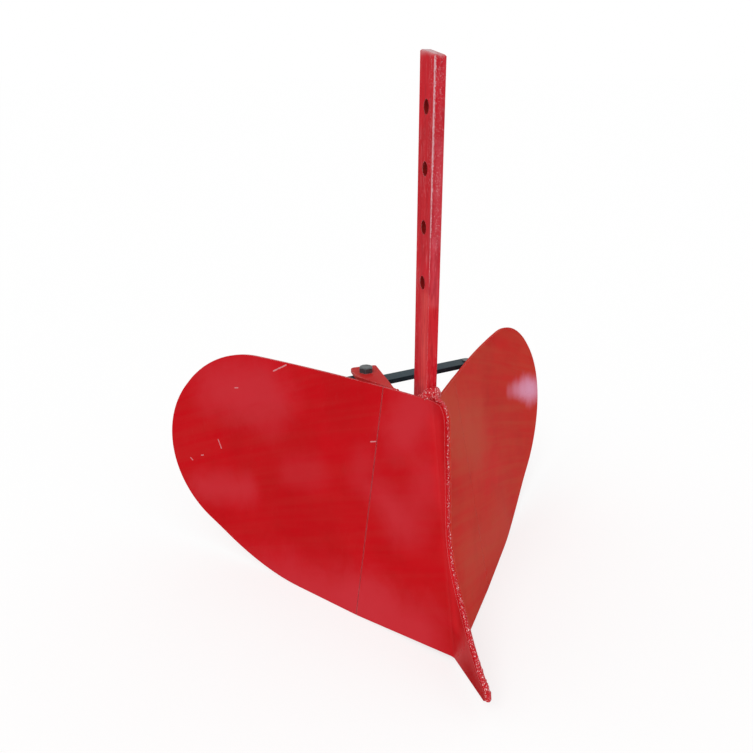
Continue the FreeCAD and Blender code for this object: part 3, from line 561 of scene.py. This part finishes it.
# The ridge's own line is the front of the sheets where they touch, from top to point.
plate_low, plate_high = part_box("nose_plate_left")
point_end, ridge_top, rear_of_ridge = plate_low.z + 0.0195, plate_high.z - 0.001, -0.055
ridge = sorted(((y, z) for y, z in front_outline if point_end < z < ridge_top
                and y < rear_of_ridge), key=lambda place: -place[1])
ridge = [Vector((0.0003, y, z)) for y, z in ridge]
knee_height = -0.425
knee = min(range(len(ridge)), key=lambda i: abs(ridge[i].z - knee_height))
lay_bead("weld_ridge", ridge[:knee + 1], (0.0023, 0.0032), pitch=0.50, jitter=0.18, voxel=0.0003)
lay_bead("weld_point", ridge[knee:], (0.0036, 0.0064), pitch=0.40, jitter=0.10, voxel=0.0005)
top_line = [Vector((0.0005, -0.022, -0.2525)), Vector((0.0005, -0.045, -0.2515)),
            Vector((0.0003, -0.053, -0.2535)), ridge[0]]
lay_bead("weld_top", top_line, (0.0050, 0.0026), pitch=0.40, jitter=0.18)
lay_bead("weld_knot", [Vector((-0.0040, -0.0180, -0.2535)), Vector((0.0030, -0.0195, -0.2512)),
                       Vector((0.0005, -0.0225, -0.2560))], 0.0104, pitch=0.15, jitter=0.13)
for side, sign in (("left", 1), ("right", -1)):
    lay_bead("weld_shank_" + side, [Vector((0.0060 * sign, -0.0165, -0.2555)),
                                    Vector((0.0085 * sign, -0.0120, -0.2575))], 0.0058)
    lay_bead("weld_rib_" + side, [Vector((0.0046 * sign, -0.0240, -0.2700)),
                                  Vector((0.0046 * sign, -0.0881, -0.4660))], 0.0046, voxel=0.0006)
    lay_bead("weld_rib_shank_" + side, [Vector((0.0040 * sign, -0.0176, -0.2700)),
                                        Vector((0.0040 * sign, -0.0176, -0.4340))], 0.0044,
             voxel=0.0006)

# ------------------------------------------------------------------- wings
# Egg-shaped sheets, rolled to a gentle curve and hung on the nose with an open seam.
# The right one is scratched by handling and carries pale pink painted reflections. The left
# one carries a brown film, partly dust and partly painted reflection, and a pale violet
# painted reflection.
for side in ("left", "right"):
    wing = refined("wing_" + side, "wing_sheet_" + side)
    close_seam(wing, side, -1)
    ease(wing, 0.00015, 2)
    smooth(wing)
    finish_with(wing, side_red[side])

# ------------------------------------------------------------------- hinges
# Three lengths of tube a side, the outer two welded to the nose and the middle one to
# the wing, with a headed pin down through them. Tubes are painted, pins are plain steel.
pin_steel, tree, shader = new_material("pin steel")
dull = band(tree, grain(tree, 160.0, 5, 0.65), 0.40, 0.70)
rust = band(tree, grain(tree, 90.0, 6, 0.7, 0.8), 0.56, 0.70)
colour = mixed(tree, dull, (0.30, 0.29, 0.28, 1), (0.17, 0.165, 0.16, 1))
tree.links.new(mixed(tree, sums(tree, "MULTIPLY", rust, 0.7), colour, (0.16, 0.07, 0.035, 1)),
               shader.inputs["Base Color"])
tree.links.new(sums(tree, "SUBTRACT", 0.85, sums(tree, "MULTIPLY", rust, 0.75)),
               shader.inputs["Metallic"])
tree.links.new(sums(tree, "MULTIPLY_ADD", sums(tree, "MAXIMUM", dull, rust), 0.3, 0.32),
               shader.inputs["Roughness"])
bumped(tree, shader, grain(tree, 240.0, 4, 0.6, 0, (1, 1, 6)), 0.0002, 0.6)

corner_within, short_of_end, into_corner = 0.0004, 0.003, 0.0012
for side in ("left", "right"):
    back, out, up = flank(side)
    for place in ("nose_knuckle_top", "wing_knuckle", "nose_knuckle_bottom"):
        name = "%s_%s" % (place, side)
        tube = refined(name, name.replace("knuckle", "hinge_tube"))
        ease(tube, 0.0004, 2)
        smooth(tube)
        finish_with(tube, inside_red)
        # The corner that the tube's foot makes with the sheet, from the tube's own mesh.
        corners = [v.co for v in nodes[name].data.vertices]
        faces_out = max(point.dot(out) for point in corners)
        away = 1 if place == "wing_knuckle" else -1
        far = max(away * point.dot(back) for point in corners)
        edge = [point for point in corners if point.dot(out) > faces_out - corner_within
                and away * point.dot(back) > far - corner_within]
        edge.sort(key=lambda point: point.dot(up))
        start = edge[0] + up * short_of_end - out * into_corner
        end = edge[-1] - up * short_of_end - out * into_corner
        lay_bead("weld_" + name, [start, end], 0.0042, body=nodes[name]["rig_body"], voxel=0.0006)
    pin = refined("hinge_pin_" + side, "hinge_rod_" + side)
    ease(pin, 0.0009, 4, least=50)
    smooth(pin)
    finish_with(pin, pin_steel)

# ------------------------------------------------------------------- adjuster's straps
# Three pieces of flat steel: the bracket on the nose, the arm on the right wing and the
# lug on the left wing. Bracket and lug are painted, and the arm is left black.
def where_they_meet(node, sheet, above):
    """The upper or lower edge that a strap shares with the sheet it is welded to."""
    low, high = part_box(node)
    level = high.z if above else low.z
    skin, touching = skin_of(sheet), 0.0004
    line = [v.co.copy() for v in nodes[node].data.vertices
            if abs(v.co.z - level) < on_edge and skin.find_nearest(v.co, touching)[0] is not None]
    line.sort(key=lambda point: point.x)
    return [line[0], line[-1]]


black_oil, tree, shader = new_material("black oiled steel")
edge_mask = put(tree, "Group", {"Reach": 0.0022, "Amount": 0.95},
                node_tree=worn_edge).outputs["Mask"]
patchy = band(tree, grain(tree, 70.0, 5, 0.62, 0.6), 0.36, 0.70)
oil = mixed(tree, patchy, (0.014, 0.036, 0.046, 1), (0.030, 0.050, 0.064, 1))
scale_spots = band(tree, grain(tree, 420.0, 4, 0.6), 0.60, 0.70)
oil = mixed(tree, sums(tree, "MULTIPLY", scale_spots, 0.35), oil, (0.10, 0.085, 0.11, 1))
tree.links.new(mixed(tree, edge_mask, oil, (0.006, 0.009, 0.012, 1)), shader.inputs["Base Color"])
tree.links.new(sums(tree, "MULTIPLY_ADD", patchy, 0.16, 0.34), shader.inputs["Roughness"])
bumped(tree, shader, grain(tree, 260.0, 5, 0.6), 0.0003, 0.7)
shader.inputs["Specular IOR Level"].default_value = 0.07

strap_red = enamelled("red enamel, straps", (0.57, 0.012, 0.016, 1), film=(0.54, 0.13, 0.10, 1),
                      film_amount=0.36, tone=0.6, gloss=0.36, rubs=0.5, wear=0.42, reach=0.0012)
for node, sheet, coat, new_name in (
        ("adjuster_bracket", "nose_plate_right", strap_red, "bracket_strap"),
        ("wing_lug", "wing_left", strap_red, "lug_strap"),
        ("adjuster_arm", "wing_right", black_oil, "arm_strap")):
    strap = refined(node, new_name)
    ease(strap, 0.0005, 2)
    smooth(strap)
    finish_with(strap, coat)
    for above in (True, False):
        lay_bead("weld_%s_%s" % (new_name, "over" if above else "under"),
                 where_they_meet(node, sheet, above), 0.0042, body=nodes[node]["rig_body"])

# ------------------------------------------------------------------- link and its pin
# Long slotted strap of black bar from the left wing's lug to the clamp bolt, turning on
# a headed pin that is riveted over at its top.
link = refined("adjuster_link", "link_bar")
ease(link, 0.0007, 3)
smooth(link)
finish_with(link, black_oil)

black_fastener, tree, shader = new_material("blackened fastener")
rubbed = put(tree, "Group", {"Reach": 0.0007, "Amount": 0.45}, node_tree=worn_edge).outputs["Mask"]
smudge = band(tree, grain(tree, 260.0, 4, 0.6), 0.38, 0.68)
colour = mixed(tree, smudge, (0.060, 0.070, 0.074, 1), (0.030, 0.038, 0.042, 1))
tree.links.new(mixed(tree, rubbed, colour, (0.22, 0.23, 0.235, 1)), shader.inputs["Base Color"])
tree.links.new(sums(tree, "MULTIPLY_ADD", smudge, 0.2, 0.28), shader.inputs["Roughness"])
bumped(tree, shader, grain(tree, 700.0, 3, 0.5), 0.0002, 0.6)
shader.inputs["Specular IOR Level"].default_value = 0.4

link_pin = refined("link_pin", "link_rivet")
ease(link_pin, 0.0008, 4, least=50)
smooth(link_pin)
finish_with(link_pin, black_fastener)

# ------------------------------------------------------------------- clamp bolt
# Black hexagon bolt down through bracket, arm and link, with a washer and a nut below.
# Head and nut are turned from hexagon bar with their corners chamfered, and the bolt's
# thread is rolled.
flats, head_height, head_turn = 0.013, 0.0053, math.radians(12)
bolt_radius, thread_pitch = 0.004, 0.00125
bolt_low, bolt_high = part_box("clamp_bolt")
bolt_axis = (bolt_low + bolt_high) / 2


def carve(piece, tool, operation):
    """Cut a piece with a tool, or keep only what they share, and remove the tool."""
    take(piece)
    cut = piece.modifiers.new("cut", "BOOLEAN")
    cut.operation, cut.object, cut.solver = operation, tool, "EXACT"
    bpy.ops.object.modifier_apply(modifier=cut.name)
    bpy.data.objects.remove(tool)


def hexagon(name, base, height, chamfer_base):
    """Hexagon bar with chamfered corners, standing on its base."""
    corner, top_reach, top_fall = flats / math.sqrt(3), flats * 0.475, 0.0008
    bpy.ops.object.select_all(action="DESELECT")
    bpy.ops.mesh.primitive_cylinder_add(vertices=6, radius=corner, depth=height,
                                        location=base + Vector((0, 0, height / 2)),
                                        rotation=(0, 0, head_turn + math.radians(30)))
    bar = bpy.context.object
    bar.name = name
    bpy.ops.object.transform_apply(location=True, rotation=True, scale=True)
    foot_fall = top_fall if chamfer_base else 0.0
    straight = height - top_fall - foot_fall
    bpy.ops.mesh.primitive_cylinder_add(vertices=72, radius=corner * 1.002, depth=straight,
                                        location=base + Vector((0, 0, foot_fall + straight / 2)))
    turning = bpy.context.object
    bpy.ops.object.transform_apply(location=True, rotation=True, scale=True)
    for up, fall in ((1, top_fall), (-1, foot_fall)):
        if fall == 0:
            continue
        nothing_picked(turning, "FACE")
        for face in turning.data.polygons:
            face.select = face.normal.z * up > 0.9
        bpy.ops.object.mode_set(mode="EDIT")
        bpy.ops.mesh.extrude_region_move(TRANSFORM_OT_translate={"value": (0, 0, up * fall)})
        middle = base + Vector((0, 0, height if up > 0 else 0))
        bpy.ops.transform.resize(value=(top_reach / corner, top_reach / corner, 1),
                                 center_override=middle)
        bpy.ops.object.mode_set(mode="OBJECT")
    carve(bar, turning, "INTERSECT")
    ease(bar, 0.00018, 2, least=20)
    return bar


head = hexagon("clamp_bolt_finished", Vector((bolt_axis.x, bolt_axis.y, bolt_high.z - head_height)),
               head_height, False)
thread_root, root_of_crest, into_head = bolt_radius * 0.82, 0.86, 0.001
bpy.ops.object.select_all(action="DESELECT")
bpy.ops.mesh.primitive_circle_add(vertices=32, radius=thread_root, fill_type="NGON",
                                  location=(bolt_axis.x, bolt_axis.y, bolt_low.z))
stem = bpy.context.object
bpy.ops.object.transform_apply(location=True, rotation=True, scale=True)
bpy.ops.object.mode_set(mode="EDIT")
bpy.ops.mesh.select_mode(type="FACE")
bpy.ops.mesh.select_all(action="SELECT")
reached, crest = bolt_low.z, False
while reached < bolt_high.z - head_height - thread_pitch:
    wide = root_of_crest if crest else 1 / root_of_crest
    bpy.ops.mesh.extrude_region_move(TRANSFORM_OT_translate={"value": (0, 0, thread_pitch / 2)})
    reached += thread_pitch / 2
    bpy.ops.transform.resize(value=(wide, wide, 1),
                             center_override=(bolt_axis.x, bolt_axis.y, reached))
    crest = not crest
bpy.ops.mesh.extrude_region_move(
    TRANSFORM_OT_translate={"value": (0, 0, bolt_high.z - head_height + into_head - reached)})
bpy.ops.mesh.select_all(action="SELECT")
bpy.ops.mesh.normals_make_consistent(inside=False)
bpy.ops.object.mode_set(mode="OBJECT")
bpy.ops.object.select_all(action="DESELECT")
stem.select_set(True)
head.select_set(True)
bpy.context.view_layer.objects.active = head
bpy.ops.object.join()
smooth(head, 30)

nut_low, nut_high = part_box("clamp_nut")
nut = hexagon("clamp_nut_finished", Vector((bolt_axis.x, bolt_axis.y, nut_low.z)),
              nut_high.z - nut_low.z, True)
bpy.ops.object.select_all(action="DESELECT")
bpy.ops.mesh.primitive_cylinder_add(vertices=48, radius=bolt_radius, depth=0.02,
                                    location=(bolt_axis.x, bolt_axis.y, nut_low.z))
carve(nut, bpy.context.object, "DIFFERENCE")
smooth(nut, 30)

washer = refined("clamp_washer", "clamp_washer_finished")
ease(washer, 0.00025, 2)
smooth(washer)

for piece, node in ((head, "clamp_bolt"), (nut, "clamp_nut")):
    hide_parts(node)
    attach(piece, nodes[node]["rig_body"])
for piece in (head, nut, washer):
    finish_with(piece, black_fastener)

# ------------------------------------------------------------------- studio
# Wide white floor under an even white sky, with one broad soft lamp from the tool's
# front right. The floor is mostly its own colour and keeps the tool's shadow.
bpy.ops.object.select_all(action="DESELECT")
bpy.ops.mesh.primitive_plane_add(size=60, location=(0, 0, cad_box[0].z))
floor = bpy.context.object
floor.name = "floor"
bpy.ops.object.transform_apply(location=True, rotation=True, scale=True)


def shows_background(tree):
    """1 for what the eye, a gloss or a clear surface sees, 0 for what lights the tool."""
    path = put(tree, "LightPath").outputs
    seen = sums(tree, "MAXIMUM", path["Is Camera Ray"], path["Is Glossy Ray"])
    return sums(tree, "MAXIMUM", seen, path["Is Transmission Ray"])


floor_paint, tree, shader = new_material("white floor")
shader.inputs["Base Color"].default_value = (0.9, 0.9, 0.9, 1)
shader.inputs["Roughness"].default_value = 0.9
shader.inputs["Specular IOR Level"].default_value = 0.0
glow = put(tree, "Emission", {"Color": (1, 1, 1, 1), "Strength": 1.13})
share = sums(tree, "MULTIPLY", shows_background(tree), 0.6)
blend = put(tree, "MixShader", {0: share, 1: shader.outputs[0], 2: glow.outputs[0]})
tree.links.new(blend.outputs[0], tree.nodes["Material Output"].inputs["Surface"])
finish_with(floor, floor_paint)

world = bpy.data.worlds.new("sky")
bpy.context.scene.world = world
world.use_nodes = True
tree = world.node_tree
sky = tree.nodes["Background"]
sky.inputs["Color"].default_value = (1, 1, 1, 1)
tree.links.new(sums(tree, "MULTIPLY_ADD", shows_background(tree), 0.32, 0.68),
               sky.inputs["Strength"])

lamp = bpy.data.lights.new("soft lamp", "SUN")
lamp.angle = math.radians(35)
lamp.energy = 0.9
lamp_object = bpy.data.objects.new("soft lamp", lamp)
bpy.context.scene.collection.objects.link(lamp_object)
lamp_object.location = (-1.1, -1.2, 1.4)
lamp_object.rotation_euler = Vector((1.1, 1.2, -1.7)).to_track_quat("-Z", "Y").to_euler()

# The camera stands ahead of the tool, to its right and above the wings.
turn, pitch, roll = math.radians(-17.0), math.radians(22.633), math.radians(0.098)
level_ahead = Vector((-math.sin(turn), math.cos(turn), 0))
camera_right = Vector((math.cos(turn), math.sin(turn), 0))
ahead = level_ahead * math.cos(pitch) - Vector((0, 0, 1)) * math.sin(pitch)
camera_up = camera_right.cross(ahead)
axes = Matrix((camera_right, camera_up, -ahead)).transposed() @ Matrix.Rotation(roll, 3, "Z")
camera = bpy.data.cameras.new("camera")
camera.sensor_width = 36
camera.lens = 36.116
camera.shift_x, camera.shift_y = -0.0098, 0.004
camera.clip_end = 80
camera_object = bpy.data.objects.new("camera", camera)
bpy.context.scene.collection.objects.link(camera_object)
camera_object.matrix_world = Matrix.Translation((-0.23268, -0.62605, 0.03225)) @ axes.to_4x4()
bpy.context.scene.camera = camera_object
bpy.context.scene.view_settings.view_transform = "Standard"
